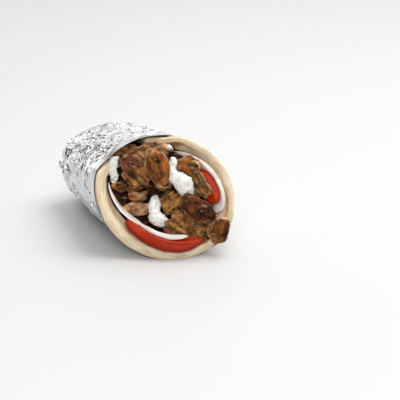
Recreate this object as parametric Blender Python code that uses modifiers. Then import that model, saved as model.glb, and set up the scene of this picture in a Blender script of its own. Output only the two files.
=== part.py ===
"""A gyro wrap lying on its side: a flatbread rolled into a cone round sliced meat, yoghurt sauce,
tomato and onion, with its tail half pushed into a cup of crumpled foil.

Metres, +Z up. The mouth faces -Y and the tail +Y. The origin is under the middle of the wrap, on
the surface that it lies on. The cone is a stack of upright ellipses along Y that all touch that
surface. Two sets of coordinates place everything else:

  round the wrap    an angle in the section (0 at +X, 90 degrees at the top), a Y, and an inset,
                    the distance in from the outermost skin;
  across the mouth  right, up and out, in the tilted plane that the mouth opens in.
"""
import math

import bmesh
import bpy
import numpy as np
from mathutils import Euler, Matrix, Vector
from mathutils.bvhtree import BVHTree

MM = 0.001

# The cone
HALF_WIDTH = 42.0 * MM        # at the middle of the mouth
HALF_HEIGHT = 37.6 * MM
WIDTH_TAPER = 0.055           # half width lost for each unit of length
HEIGHT_TAPER = 0.104
BODY_LENGTH = 92.0 * MM       # from the middle of the mouth to where the tail starts to round off
TAIL_ROUND = 22.0 * MM        # length of the rounded tail
TAIL_POWER = 2.5              # 2 is an ellipse, more is blunter
TONGUE = 22.0 * MM            # how far the lip leans out at its longest, and back opposite
TONGUE_ANGLE = math.radians(-62)
LIP_WAVE = 0.7 * MM
LIP_FORWARD = 1.8 * MM        # the lip stands this far out of the mouth's plane
MOUTH_Y = (TONGUE + LIP_FORWARD - BODY_LENGTH - TAIL_ROUND) / 2
TAIL_Y = MOUTH_Y + BODY_LENGTH
FLAT_DEPTH = 1.7 * MM         # how far the weight has flattened the underside
CLEARANCE = 0.3 * MM          # between neighbouring pieces
SMALLEST_EDGE = 0.004 * MM    # shorter ones, left by a cut, are merged away

# The mouth's plane: it looks a little to the left and up
MOUTH_YAW = math.radians(-20.8)
MOUTH_PITCH = math.radians(20.0)
MOUTH_CENTRE = Vector((0, MOUTH_Y, HALF_HEIGHT - FLAT_DEPTH))

# The bread
BREAD_THICKNESS = 7.5 * MM
BREAD_THINNEST = 0.62         # of that thickness, at the right
BREAD_THICKEST_ANGLE = math.radians(207)
BREAD_SWELL_POWER = 1.4       # more keeps the thick stretch shorter
SEAM_START = math.radians(98)     # the rolled sheet doesn't meet between these two angles
SEAM_END = math.radians(138)
LIP_ROUNDING = 2.2 * MM
BREAD_TAIL_STOP = 0.93        # share of the way from lip to tail tip that the bread reaches

# The foil
FOIL_WALL = 0.9 * MM
FOIL_INSET = 0.8 * MM         # of its smooth outer face, before crumpling
CRUMPLE = 1.5 * MM            # height of the crumples near the tail
CRUMPLE_RUN = 35 * MM         # the crumples grow over this length behind the hem
CRUMPLE_JITTER = 2.4          # sideways, in radians shared out over the cup's segments
HEM = 8.0 * MM                # smooth band along the foil's edge
HEM_SETBACK = 9.0 * MM        # how far the foil's edge stays behind the lip
HEM_COVER_ANGLE = math.radians(111)   # here it reaches the lip and covers the open seam
HEM_COVER_FULL = math.radians(22)     # it keeps to the lip so far to either side
HEM_COVER_END = math.radians(48)      # and is back at its full setback from here on
HEM_OVERHANG = 0.6 * MM       # how far it passes the lip there
SQUEEZE_START = 2.0 * MM      # the bread only swells in front of an edge set back more than this
SQUEEZE_LEAD = 1.5 * MM       # and it is fully squeezed this far in front of that edge
SQUEEZED_INSET = FOIL_INSET + FOIL_WALL + 3 * CLEARANCE

# The packed filling
CORE_INSET = 11.2 * MM        # clear of the bread's inner face
CORE_SEAM_INSET = 3.2 * MM    # where it swells into the open seam
CORE_SEAM_SPREAD = math.radians(17)
CORE_FRONT = -9.5 * MM        # its face, out from the mouth's plane
CORE_LUMP = 1.2 * MM

STRAIGHT_SHARE = 0.74         # share of a lengthwise line that lies before the rounded tail


# ---------------------------------------------------------------- the wrap's own coordinates

def half_sizes(y):
    """Half width and half height of the section at y."""
    run = np.minimum(y, TAIL_Y) - MOUTH_Y
    return HALF_WIDTH - WIDTH_TAPER * run, HALF_HEIGHT - HEIGHT_TAPER * run


def around(angle, y, inset, shrink=1.0):
    """Points at an angle in the section at y, so far in from the skin; shrink closes the tail."""
    half_width, half_height = half_sizes(y)
    x = (half_width - inset) * shrink * np.cos(angle)
    z = half_height + (half_height - inset) * shrink * np.sin(angle) - FLAT_DEPTH
    return np.stack(np.broadcast_arrays(x, y, z), axis=-1)


def lengthwise(angle, share, start, inset):
    """Points a share of the way along a line from y = start, over the rounded tail, to its tip."""
    straight = np.minimum(share / STRAIGHT_SHARE, 1)
    turn = np.clip((share - STRAIGHT_SHARE) / (1 - STRAIGHT_SHARE), 0, 1) * math.pi / 2
    y = start + (TAIL_Y - start) * straight
    y = y + (TAIL_ROUND - inset) * np.sin(turn) ** (2 / TAIL_POWER)
    shrink = np.maximum(np.cos(turn), 0) ** (2 / TAIL_POWER)
    return around(angle, y, inset, shrink)


def lip_y(angle):
    """Where the bread's lip is: a tilted rim with its tongue at the lower right."""
    wave = LIP_WAVE * np.sin(5 * angle + 1)
    return MOUTH_Y - LIP_FORWARD - TONGUE * np.cos(angle - TONGUE_ANGLE) + wave


def nearness(angle, centre, spread):
    """1 at the centre angle, falling smoothly to 0 a spread away."""
    apart = np.abs((angle - centre + math.pi) % (2 * math.pi) - math.pi)
    return 0.5 + 0.5 * np.cos(np.minimum(apart / spread, 1) * math.pi)


def hem_setback(angle):
    """How far the foil's edge is behind the lip: none where it covers the open seam."""
    apart = np.abs((angle - HEM_COVER_ANGLE + math.pi) % (2 * math.pi) - math.pi)
    cover = np.clip((HEM_COVER_END - apart) / (HEM_COVER_END - HEM_COVER_FULL), 0, 1)
    cover = cover * cover * (3 - 2 * cover)
    return HEM_SETBACK * (1 - cover) - HEM_OVERHANG * cover


def bread_inset(angle, y):
    """Inset of the bread's outer face: squeezed under the foil, and free to swell at the lip."""
    setback = hem_setback(angle)
    free = np.clip((setback - SQUEEZE_START) / (HEM_SETBACK - SQUEEZE_START), 0, 1)
    run_in = np.maximum(setback - SQUEEZE_LEAD, SQUEEZE_LEAD / 3)
    under = np.clip((y - lip_y(angle)) / run_in, 0, 1)
    return SQUEEZED_INSET * (1 - free * (1 - under ** 2))


def bread_thickness(angle):
    """The sheet is thickest at the lower left and thinnest opposite."""
    swell = (0.5 + 0.5 * np.cos(angle - BREAD_THICKEST_ANGLE)) ** BREAD_SWELL_POWER
    return BREAD_THICKNESS * (BREAD_THINNEST + (1 - BREAD_THINNEST) * swell)


MOUTH_AXES = (Matrix.Rotation(MOUTH_YAW, 3, "Z") @ Matrix.Rotation(-MOUTH_PITCH, 3, "X")
              @ Matrix(((1, 0, 0), (0, 0, -1), (0, 1, 0))))


def across(points):
    """Right, up and out in the mouth's plane, carried to the row's frame."""
    return points @ np.array(MOUTH_AXES).T + np.array(MOUTH_CENTRE)


# ---------------------------------------------------------------- making and joining meshes

def collection(name):
    made = bpy.data.collections.new(name)
    bpy.context.scene.collection.children.link(made)
    return made


def finish(name, colour, roughness, metallic=0.0):
    """A Principled material."""
    material = bpy.data.materials.new(name)
    material.use_nodes = True
    shader = material.node_tree.nodes["Principled BSDF"]
    shader.inputs["Base Color"].default_value = (*colour, 1)
    shader.inputs["Roughness"].default_value = roughness
    shader.inputs["Metallic"].default_value = metallic
    return material


def new_object(name, mesh, material, place):
    mesh.name = name
    mesh.materials.append(material)
    made = bpy.data.objects.new(name, mesh)
    place.objects.link(made)
    return made


def ball(segments, rings):
    """A unit UV sphere with its poles on Z, as a bmesh, and its points."""
    shape = bmesh.new()
    bmesh.ops.create_uvsphere(shape, u_segments=segments, v_segments=rings, radius=1)
    return shape, np.array([vertex.co for vertex in shape.verts])


def bend_mesh(shape, points):
    """Move a bmesh's points, point its faces outwards and turn it into a mesh."""
    for vertex, point in zip(shape.verts, points):
        vertex.co = point
    if shape.calc_volume(signed=True) < 0:
        bmesh.ops.reverse_faces(shape, faces=shape.faces)
    mesh = bpy.data.meshes.new("shape")
    shape.to_mesh(mesh)
    shape.free()
    return mesh


def puff(points, edge_power, outline_power=1.0):
    """Swell a unit sphere towards a slab: powers under 1 square its edge and its outline."""
    level = np.clip(points[:, 2], -1, 1)
    spread = np.sqrt(1 - level ** 2)
    turn = np.arctan2(points[:, 1], points[:, 0])
    reach = spread ** edge_power

    def squared(value):
        return np.sign(value) * np.abs(value) ** outline_power

    return np.stack([reach * squared(np.cos(turn)), reach * squared(np.sin(turn)),
                     np.sign(level) * np.abs(level) ** edge_power], axis=-1)


def island_of(vertex):
    """All vertices joined to this one by edges."""
    found = {vertex}
    waiting = [vertex]
    while waiting:
        for edge in waiting.pop().link_edges:
            for other in edge.verts:
                if other not in found:
                    found.add(other)
                    waiting.append(other)
    return found


def island_area(island):
    faces = {face for vertex in island for face in vertex.link_faces}
    return sum(face.calc_area() for face in faces)


def drop_crumbs(mesh):
    """Keep only the largest joined body of a mesh."""
    shape = bmesh.new()
    shape.from_mesh(mesh)
    left = set(shape.verts)
    islands = []
    while left:
        island = island_of(next(iter(left)))
        islands.append(island)
        left -= island
    islands.sort(key=island_area)
    for island in islands[:-1]:
        bmesh.ops.delete(shape, geom=list(island), context="VERTS")
    bmesh.ops.remove_doubles(shape, verts=shape.verts, dist=SMALLEST_EDGE)
    bmesh.ops.dissolve_degenerate(shape, edges=shape.edges, dist=SMALLEST_EDGE)
    shape.to_mesh(mesh)
    shape.free()


def apply_modifiers(thing):
    """Give the object its evaluated mesh in triangles, so that a bent face has only one reading."""
    graph = bpy.context.evaluated_depsgraph_get()
    mesh = bpy.data.meshes.new_from_object(thing.evaluated_get(graph), depsgraph=graph)
    shape = bmesh.new()
    shape.from_mesh(mesh)
    bmesh.ops.triangulate(shape, faces=shape.faces)
    shape.to_mesh(mesh)
    shape.free()
    thing.data = mesh
    thing.modifiers.clear()


def tree_of(mesh):
    mesh.calc_loop_triangles()
    corners = [vertex.co.copy() for vertex in mesh.vertices]
    return BVHTree.FromPolygons(corners, [tuple(t.vertices) for t in mesh.loop_triangles])


def make_room(thing):
    """A hidden copy of a piece, grown by the clearance, to cut its neighbours with."""
    room = bpy.data.objects.new(thing.name + "_room", thing.data.copy())
    rooms.objects.link(room)
    grow = room.modifiers.new("grow", "DISPLACE")
    grow.mid_level = 0
    grow.strength = CLEARANCE * 1.2
    apply_modifiers(room)
    room.hide_render = True
    room.display_type = "WIRE"
    return room


def settle(thing):
    """Cut a piece clear of those already settled, so that it is pressed against them."""
    apply_modifiers(thing)
    room = make_room(thing)
    tree = tree_of(thing.data)
    for other, other_tree in settled:
        if tree.overlap(other_tree):
            cut = thing.modifiers.new(other.name, "BOOLEAN")
            cut.operation = "DIFFERENCE"
            cut.object = other
    if thing.modifiers:
        apply_modifiers(thing)
        drop_crumbs(thing.data)
    thing.data.shade_smooth()
    thing.data.set_sharp_from_angle(angle=math.radians(50))
    settled.append((room, tree_of(room.data)))


def stand_on_origin():
    """Shift every piece so that the origin is under the middle of the wrap; gives the shift."""
    corners = np.array([vertex.co for thing in wrap.objects for vertex in thing.data.vertices])
    low = corners.min(axis=0)
    high = corners.max(axis=0)
    shift = Vector((-(low[0] + high[0]) / 2, -(low[1] + high[1]) / 2, -low[2]))
    for thing in wrap.objects:
        thing.data.transform(Matrix.Translation(shift))
    return shift


for old in list(bpy.data.objects):
    bpy.data.objects.remove(old, do_unlink=True)

wrap = collection("gyro_wrap")
rooms = collection("rooms")
rooms.hide_render = True
settled = []

FOIL = finish("foil", (0.80, 0.80, 0.81), 0.25, 1.0)
BREAD = finish("bread", (0.78, 0.62, 0.38), 0.75)
MEAT = finish("meat", (0.24, 0.10, 0.045), 0.5)
SAUCE = finish("yoghurt_sauce", (0.86, 0.87, 0.80), 0.3)
TOMATO = finish("tomato", (0.55, 0.035, 0.012), 0.2)
ONION = finish("onion", (0.80, 0.74, 0.66), 0.25)


# ---------------------------------------------------------------- foil and bread

def foil_cup(segments=32, rings=14):
    """The foil: a cup with a smooth hem that gets more crumpled towards its rounded tail."""
    shape, points = ball(segments, rings)
    tip = max(shape.verts, key=lambda vertex: vertex.co.z)
    bmesh.ops.delete(shape, geom=[tip], context="VERTS")
    points = np.array([vertex.co for vertex in shape.verts])
    angle = np.arctan2(points[:, 1], points[:, 0])
    polar = np.arccos(np.clip(points[:, 2], -1, 1))
    share = (polar / math.pi * rings - 1) / (rings - 1)
    start = lip_y(angle) + hem_setback(angle)
    smooth = lengthwise(angle, share, start, FOIL_INSET)
    chance = np.random.default_rng(11)
    past_hem = np.clip((smooth[:, 1] - start - HEM) / CRUMPLE_RUN, 0, 1)
    height = CRUMPLE * past_hem * chance.uniform(0, 1, len(points)) ** 1.5
    jitter = CRUMPLE_JITTER / segments * past_hem * chance.uniform(-1, 1, len(points))
    placed = lengthwise(angle + jitter, share, start, FOIL_INSET - height)
    placed[:, 2] = np.maximum(placed[:, 2], 0)
    made = new_object("foil_wrapper", bend_mesh(shape, placed), FOIL, wrap)
    wall = made.modifiers.new("wall", "SOLIDIFY")
    wall.thickness = FOIL_WALL
    wall.offset = -1
    return made


def bread_sheet(round_steps=27, long_steps=7, crowding=1.3):
    """The flatbread: a thick sheet rolled round the filling, open along its seam.

    Its rows of points crowd towards the lip.
    """
    shape = bmesh.new()
    bmesh.ops.create_grid(shape, x_segments=round_steps, y_segments=long_steps, size=0.5)
    points = np.array([vertex.co for vertex in shape.verts])
    roll = points[:, 0] + 0.5
    along = (points[:, 1] + 0.5) ** crowding
    angle = SEAM_START + (SEAM_END - 2 * math.pi - SEAM_START) * roll
    start = lip_y(angle)
    share = along * BREAD_TAIL_STOP
    inset = bread_inset(angle, lengthwise(angle, share, start, 0)[:, 1])
    placed = lengthwise(angle, share, start, inset)
    floor = (FOIL_WALL + CLEARANCE) * inset / SQUEEZED_INSET
    placed[:, 2] = np.maximum(placed[:, 2], floor)
    made = new_object("pita", bend_mesh(shape, placed), BREAD, wrap)
    full = made.vertex_groups.new(name="thickness")
    swell = bread_thickness(angle) / BREAD_THICKNESS
    for index, amount in enumerate((swell - BREAD_THINNEST) / (1 - BREAD_THINNEST)):
        full.add([index], float(amount), "REPLACE")
    wall = made.modifiers.new("thickness", "SOLIDIFY")
    wall.thickness = BREAD_THICKNESS
    wall.offset = -1
    wall.vertex_group = full.name
    wall.thickness_vertex_group = BREAD_THINNEST
    rounding = made.modifiers.new("lip", "BEVEL")
    rounding.width = LIP_ROUNDING
    rounding.segments = 1
    rounding.limit_method = "ANGLE"
    rounding.angle_limit = math.radians(55)
    return made


# ---------------------------------------------------------------- slices laid along the wall

WALL_EDGE_POWER = 0.3
WALL_OUTLINE_POWER = 0.6


def wall_slab(name, material, first, last, off_first, off_last, thickness, reach, back,
              first_point, last_point, segments=14, rings=6):
    """A slice that follows the bread's inner wall from one angle to another.

    Its middle stands off from the wall by an amount that changes from its first end to its last,
    and it reaches so far into the wrap from a front edge that lies back behind the lip. The two
    points are the shares of its thickness that it loses towards its ends.
    """
    shape, points = ball(segments, rings)
    points = puff(points, WALL_EDGE_POWER, WALL_OUTLINE_POWER)
    loss = np.where(points[:, 0] < 0, first_point, last_point)
    thickness = thickness * (1 - loss * np.abs(points[:, 0]) ** 3)
    angle = math.radians(first + last) / 2 + math.radians(last - first) / 2 * points[:, 0]
    y = lip_y(angle) + back + reach * (points[:, 1] + 1) / 2
    off = (off_first + off_last) / 2 + (off_last - off_first) / 2 * points[:, 0]
    inset = bread_inset(angle, y) + bread_thickness(angle) + off + thickness / 2 * points[:, 2]
    return new_object(name, bend_mesh(shape, around(angle, y, inset)), material, wrap)


# ---------------------------------------------------------------- pieces heaped in the mouth

SMALL_SLICE = 8.5 * MM        # half length up to which a slice gets a coarser mesh
SLICE_EDGE_POWER = 0.5
SLICE_OUTLINE_POWER = 0.85
RAGGED = ((3, 0.07), (5, 0.06))     # waves round the outline, and how much each moves it
LUMP_SHARE = 0.07                   # of the slice's thickness
LUMP_WAVES = (0.35 / MM, 0.40 / MM)     # along and across the slice, in radians a metre


def mouth_slice(name, right, up, out, half_length, half_width, thickness, turn, tip, lean,
                bow, cup, seed):
    """A slice of meat in the mouth.

    turn spins it in the mouth's plane, tip and lean tilt it out of the plane (degrees), and bow
    and cup are how much it curves along its length and across it (degrees from end to end).
    """
    shape, points = ball(12, 6) if half_length > SMALL_SLICE else ball(10, 5)
    chance = np.random.default_rng(seed)
    phase = chance.uniform(0, 2 * math.pi, 4)
    turn_round = np.arctan2(points[:, 1], points[:, 0])
    ragged = 1 + sum(amount * np.sin(waves * turn_round + phase[index])
                     for index, (waves, amount) in enumerate(RAGGED))
    points = puff(points, SLICE_EDGE_POWER, SLICE_OUTLINE_POWER)
    x = points[:, 0] * half_length * ragged
    y = points[:, 1] * half_width * ragged
    lumps = np.sin(LUMP_WAVES[0] * x + phase[2]) + np.sin(LUMP_WAVES[1] * y + phase[3])
    z = points[:, 2] * thickness / 2 + LUMP_SHARE * thickness * lumps
    for amount, side in ((bow, 0), (cup, 1)):
        if amount:
            flat = (x, y)[side]
            radius = (half_length, half_width)[side] * 2 / math.radians(amount)
            bent = np.sin(flat / radius) * (radius + z)
            z = np.cos(flat / radius) * (radius + z) - radius
            x, y = (bent, y) if side == 0 else (x, bent)
    spin = Euler([math.radians(tip), math.radians(lean), math.radians(turn)]).to_matrix()
    placed = np.stack([x, y, z], axis=-1) @ np.array(spin).T + np.array([right, up, out])
    return new_object(name, bend_mesh(shape, across(placed)), MEAT, wrap)


def mouth_blob(name, path, flatness, segments=10, rings=8, look_ahead=0.1, bluntness=0.2):
    """A smear of sauce along a path of (right, up, out, radius) points, with blunt ends."""
    shape, points = ball(segments, rings)
    stops = np.linspace(-1, 1, len(path))
    course = np.array(path) * MM
    at = np.stack([np.interp(points[:, 2], stops, course[:, k]) for k in range(4)], axis=-1)
    ahead = points[:, 2] + look_ahead
    behind = points[:, 2] - look_ahead
    way = np.stack([np.interp(ahead, stops, course[:, k]) - np.interp(behind, stops, course[:, k])
                    for k in range(2)], axis=-1)
    way = way / np.linalg.norm(way, axis=1, keepdims=True)
    fuller = np.maximum(1 - points[:, 2] ** 2, 1e-6) ** -bluntness
    aside = points[:, 0] * fuller * at[:, 3]
    placed = np.stack([at[:, 0] - way[:, 1] * aside, at[:, 1] + way[:, 0] * aside,
                       at[:, 2] + points[:, 1] * fuller * at[:, 3] * flatness], axis=-1)
    return new_object(name, bend_mesh(shape, across(placed)), SAUCE, wrap)


def plane_y(angle, inset, out):
    """The y where a lengthwise line, so far in from the skin, passes a plane across the mouth."""
    way = np.array(MOUTH_AXES)[:, 2]
    y = np.full_like(angle, MOUTH_Y)
    for _ in range(4):
        offset = around(angle, y, inset) - np.array(MOUTH_CENTRE)
        y = y + (out - offset @ way) / way[1]
    return y


def packed_core(segments=20, rings=10, face_share=0.25):
    """The packed filling behind the slices, out to the bread and, in the seam, to the foil.

    Its first rings, up to face_share, make its lumpy face.
    """
    shape, points = ball(segments, rings)
    angle = np.arctan2(points[:, 1], points[:, 0])
    share = np.arccos(np.clip(points[:, 2], -1, 1)) / math.pi
    in_seam = nearness(angle, (SEAM_START + SEAM_END) / 2, CORE_SEAM_SPREAD)
    inset = CORE_INSET - (CORE_INSET - CORE_SEAM_INSET) * in_seam
    placed = lengthwise(angle, np.clip((share - face_share) / (1 - face_share), 0, 1),
                        plane_y(angle, inset, CORE_FRONT), inset)
    outwards = np.array(MOUTH_AXES)[:, 2]
    middle = np.array(MOUTH_CENTRE) + outwards * CORE_FRONT
    face = np.clip(1 - share / face_share, 0, 1)[:, None]
    lumps = np.sin(placed[:, 0] / (5 * MM)) + np.sin(placed[:, 2] / (4 * MM))
    placed = placed + (middle - placed) * face - lumps[:, None] * face * outwards * CORE_LUMP
    return new_object("meat_core", bend_mesh(shape, placed), MEAT, wrap)


settle(foil_cup())
settle(bread_sheet())

# Tomato and onion lie against the bread: finish, first and last angle, standoff at each, thickness,
# reach and setback (mm), and how pointed each end is
WALL_SLABS = {
    "tomato_low": (TOMATO, 214, 300, 4.1, 3.0, 7.2, 9, -1.5, 0.35, 0.9),
    "onion_right": (ONION, -30, 72, 2.1, 5.8, 3.2, 34, -0.5, 0.6, 0.5),
    "tomato_right": (TOMATO, -20, 36, 6.8, 8.0, 5.6, 38, 0.0, 0.9, 0.9),
    "onion_left": (ONION, 162, 230, 1.6, 8.2, 1.7, 5, 1.0, 0.6, 0.2),
    "onion_low": (ONION, 224, 286, 8.1, 8.4, 1.7, 4, 0.6, 0.2, 0.8),
}
for name, (material, first, last, *lengths, first_point, last_point) in WALL_SLABS.items():
    settle(wall_slab(name, material, first, last, *(length * MM for length in lengths),
                     first_point, last_point))

# Meat and sauce, from the front backwards.
# Slices: right, up, out, half length, half width, thickness (mm), turn, tip, lean, bow, cup, seed
FRONT_SLICES = {
    "meat_over_lip": (34.0, -23.4, 4.0, 9.0, 6.2, 6.5, 76, 8, -12, 60, 35, 1),
    "meat_right_dark": (21.2, -9.6, 4.8, 12.8, 6.2, 7.0, -33, -4, 0, 30, 75, 3),
    "meat_bottom_broad": (16.8, -22.2, 3.0, 17.0, 8.8, 5.0, -30, -7, 6, 20, 15, 2),
    "meat_middle_broad": (-3.4, 16.4, 1.2, 12.4, 7.6, 6.0, -60, -8, 10, 30, 50, 5),
    "meat_left_broad": (-17.4, 14.8, -0.8, 11.4, 8.4, 5.5, -42, 0, -8, 40, 45, 4),
}
SAUCES = {
    "tzatziki_right": ([(3.4, 22.6, -2.0, 2.2), (5.1, 20.0, -1.0, 4.6), (5.6, 14.0, -0.5, 2.8),
                        (8.0, 9.8, 0.0, 4.6), (12.0, 5.4, 0.3, 6.6), (15.8, 1.4, 0.0, 5.6),
                        (18.6, -1.4, -1.0, 3.0)], 0.7),
    "tzatziki_low": ([(-5.9, 0.2, -2.6, 2.8), (-5.5, -5.2, -1.2, 3.9), (-5.9, -10.8, 0.2, 3.9),
                      (-5.0, -15.8, 1.6, 4.8), (-1.0, -18.2, 2.2, 4.0), (3.0, -16.6, 2.5, 2.4)], 0.8),
    "tzatziki_left": ([(-27.5, 23.4, -3.0, 1.6), (-31.8, 21.4, -2.6, 2.6), (-32.0, 16.5, -2.5, 3.0),
                       (-31.6, 11.0, -2.5, 3.2), (-30.6, 6.0, -3.0, 2.0)], 0.9),
    "tzatziki_top": ([(2.6, 31.5, -4.5, 1.8), (4.2, 26.5, -4.0, 2.2)], 0.9),
}
BACK_SLICES = {
    "meat_middle_small": (4.6, -5.0, -2.0, 7.6, 6.6, 5.5, 40, 0, 0, 30, 30, 6),
    "meat_curl": (22.2, 17.2, -1.5, 6.2, 3.2, 1.4, 100, 85, 0, 230, 0, 8),
    "meat_top_right": (15.4, 17.4, -2.5, 7.6, 6.0, 5.0, -10, 0, 0, 30, 25, 7),
    "meat_right_thin_outer": (25.2, 3.6, -2.5, 9.8, 4.2, 2.4, -62, 30, 0, 25, 0, 9),
    "meat_right_thin_inner": (21.6, 5.4, -3.5, 9.6, 5.0, 2.6, -58, 25, 0, 20, 0, 10),
    "meat_arch": (0.9, 3.6, -2.4, 6.6, 4.4, 2.0, 14, 66, 0, 130, 0, 11),
    "meat_left_under": (-16.6, 4.8, -3.4, 7.4, 4.4, 3.5, 20, 24, 0, 30, 20, 18),
    "meat_left_fold": (-16.6, -2.4, -3.0, 6.6, 4.6, 2.6, 4, 50, 0, 130, 0, 12),
    "meat_left_ragged": (-18.0, -9.6, -2.0, 8.4, 4.4, 3.2, 4, -10, 0, 30, 10, 13),
    "meat_left_chip": (-27.4, 4.8, -3.6, 4.8, 3.4, 3.0, -10, 20, 0, 30, 0, 14),
    "meat_top_crumbled": (-7.5, 27.2, -3.8, 11.0, 5.0, 4.5, 4, -10, 0, 40, 20, 15),
    "meat_top_left": (-24.6, 23.6, -4.8, 12.0, 5.4, 5.0, 27, -10, 0, 30, 20, 16),
    "meat_bottom_chip": (4.6, -23.6, 0.5, 5.6, 2.6, 3.2, -20, 0, 0, 20, 0, 17),
}


def mouth_slices(table):
    for name, (right, up, out, half_length, half_width, thickness, *pose) in table.items():
        settle(mouth_slice(name, right * MM, up * MM, out * MM, half_length * MM, half_width * MM,
                           thickness * MM, *pose))


mouth_slices(FRONT_SLICES)
for name, (path, flatness) in SAUCES.items():
    settle(mouth_blob(name, path, flatness))
mouth_slices(BACK_SLICES)
settle(packed_core())
stand_on_origin()
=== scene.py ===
"""How a gyro wrap looks: crumpled foil, soft flatbread, sliced roast meat, yoghurt sauce, tomato
and onion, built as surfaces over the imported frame. Metres, +Z up, the mouth facing -Y.
"""

import bmesh
import bpy
import numpy as np
from mathutils import Matrix, Vector


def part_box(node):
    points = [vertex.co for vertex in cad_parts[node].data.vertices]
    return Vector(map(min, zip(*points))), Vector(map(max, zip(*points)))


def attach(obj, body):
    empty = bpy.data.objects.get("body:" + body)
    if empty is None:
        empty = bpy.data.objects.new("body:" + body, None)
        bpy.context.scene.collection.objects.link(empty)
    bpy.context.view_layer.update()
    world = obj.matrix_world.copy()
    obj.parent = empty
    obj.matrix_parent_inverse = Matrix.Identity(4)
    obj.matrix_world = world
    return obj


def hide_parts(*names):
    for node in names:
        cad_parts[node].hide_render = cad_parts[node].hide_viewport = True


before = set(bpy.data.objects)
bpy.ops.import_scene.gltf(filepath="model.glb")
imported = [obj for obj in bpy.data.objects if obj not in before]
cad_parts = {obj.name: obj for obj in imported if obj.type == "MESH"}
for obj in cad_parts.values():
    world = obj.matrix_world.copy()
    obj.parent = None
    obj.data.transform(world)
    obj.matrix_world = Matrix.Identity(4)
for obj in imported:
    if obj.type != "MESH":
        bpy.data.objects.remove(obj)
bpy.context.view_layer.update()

# ------------------------------------------------------------------------------------ foil
# The tail of the wrap is pushed into a sheet of kitchen foil that is scrunched round it. The
# foil's edge is folded back into a smooth hem, which reaches the bread's lip only at the upper
# left, over the open seam; the rest is creased into small flat facets.

MM = 0.001
HALF_WIDTH = 42.0 * MM            # of the upright ellipse at the middle of the mouth
HALF_HEIGHT = 37.6 * MM
WIDTH_TAPER = 0.055               # half width lost for each unit of length
HEIGHT_TAPER = 0.104
BODY_LENGTH = 92.0 * MM           # from the middle of the mouth to where the tail rounds off
TAIL_ROUND = 22.0 * MM            # length of the rounded tail
TAIL_POWER = 2.5                  # 2 is an ellipse, more is blunter
STRAIGHT_SHARE = 0.74             # share of a lengthwise line that lies before the rounded tail
FLAT_DEPTH = 1.7 * MM             # how far the weight has flattened the underside
TONGUE = 22.0 * MM                # how far the lip leans out at its longest, and back opposite
TONGUE_ANGLE = np.radians(-62)
LIP_FORWARD = 1.8 * MM            # the lip stands this far out of the mouth's plane
LIP_WAVE = 0.7 * MM
HEM_SETBACK = 9.0 * MM            # how far the foil's edge stays behind the lip
HEM_OVERHANG = 0.6 * MM           # how far it passes the lip over the open seam
HEM_COVER_ANGLE = np.radians(111)  # the middle of the stretch where it does
HEM_COVER_FULL = np.radians(22)   # it keeps to the lip so far to either side
HEM_COVER_END = np.radians(48)    # and is back at its full setback from here on

core_low, core_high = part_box("meat_core")
bread_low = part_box("pita")[0]
MIDDLE_X = (core_low.x + core_high.x) / 2
MOUTH_Y = bread_low.y + TONGUE + LIP_FORWARD
TAIL_Y = MOUTH_Y + BODY_LENGTH


def around(angle, y, inset, shrink=1.0):
    """A point of the wrap's section: an upright ellipse at y, drawn in by inset, on the table."""
    run = np.minimum(y, TAIL_Y) - MOUTH_Y
    half_width = HALF_WIDTH - WIDTH_TAPER * run
    half_height = HALF_HEIGHT - HEIGHT_TAPER * run
    x = MIDDLE_X + (half_width - inset) * shrink * np.cos(angle)
    z = half_height + (half_height - inset) * shrink * np.sin(angle) - FLAT_DEPTH
    return np.stack(np.broadcast_arrays(x, y, z), axis=-1)


def lengthwise(angle, share, start, inset):
    """A point a share of the way from y = start to the tail's tip: straight, then rounded."""
    straight = np.minimum(share / STRAIGHT_SHARE, 1)
    turn = np.clip((share - STRAIGHT_SHARE) / (1 - STRAIGHT_SHARE), 0, 1) * np.pi / 2
    y = start + (TAIL_Y - start) * straight
    y = y + (TAIL_ROUND - inset) * np.sin(turn) ** (2 / TAIL_POWER)
    return around(angle, y, inset, np.maximum(np.cos(turn), 0) ** (2 / TAIL_POWER))


def lip_y(angle):
    """The bread's lip: a tilted rim, furthest forward at its tongue, with a slight wave."""
    wave = LIP_WAVE * np.sin(5 * angle + 1)
    return MOUTH_Y - LIP_FORWARD - TONGUE * np.cos(angle - TONGUE_ANGLE) + wave


def nearness(angle, centre, spread):
    """1 at the centre angle, falling in a cosine to 0 a spread away."""
    apart = np.abs((angle - centre + np.pi) % (2 * np.pi) - np.pi)
    return 0.5 + 0.5 * np.cos(np.minimum(apart / spread, 1) * np.pi)


def smooth_step(value):
    """0 below 0, 1 above 1, and 3v^2 - 2v^3 between."""
    value = np.clip(value, 0, 1)
    return value * value * (3 - 2 * value)


def hem_setback(angle):
    """How far behind the lip the foil's edge is: its full setback, or just over the lip at the seam."""
    apart = np.abs((angle - HEM_COVER_ANGLE + np.pi) % (2 * np.pi) - np.pi)
    cover = smooth_step((HEM_COVER_END - apart) / (HEM_COVER_END - HEM_COVER_FULL))
    return HEM_SETBACK * (1 - cover) - HEM_OVERHANG * cover


def cloud(points, size, seed):
    """Smooth noise from -1 to 1: random values on a cube lattice, blended by 3t^2 - 2t^3."""
    table = np.random.default_rng(seed).uniform(-1, 1, (32, 32, 32))
    cell = points / np.asarray(size) + 64
    low = np.floor(cell).astype(int)
    blend = smooth_step(cell - low)
    total = 0
    for corner in np.ndindex(2, 2, 2):
        weight = np.where(corner, blend, 1 - blend).prod(axis=-1)
        x, y, z = np.moveaxis((low + corner) % 32, -1, 0)
        total = total + weight * table[x, y, z]
    return total


def rough(points, size, seed, layers=3):
    """Clouds added up, each half the size and half the height of the one before."""
    size = np.asarray(size)
    return sum(cloud(points, size / 2 ** layer, seed + layer) / 2 ** layer for layer in range(layers))


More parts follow.
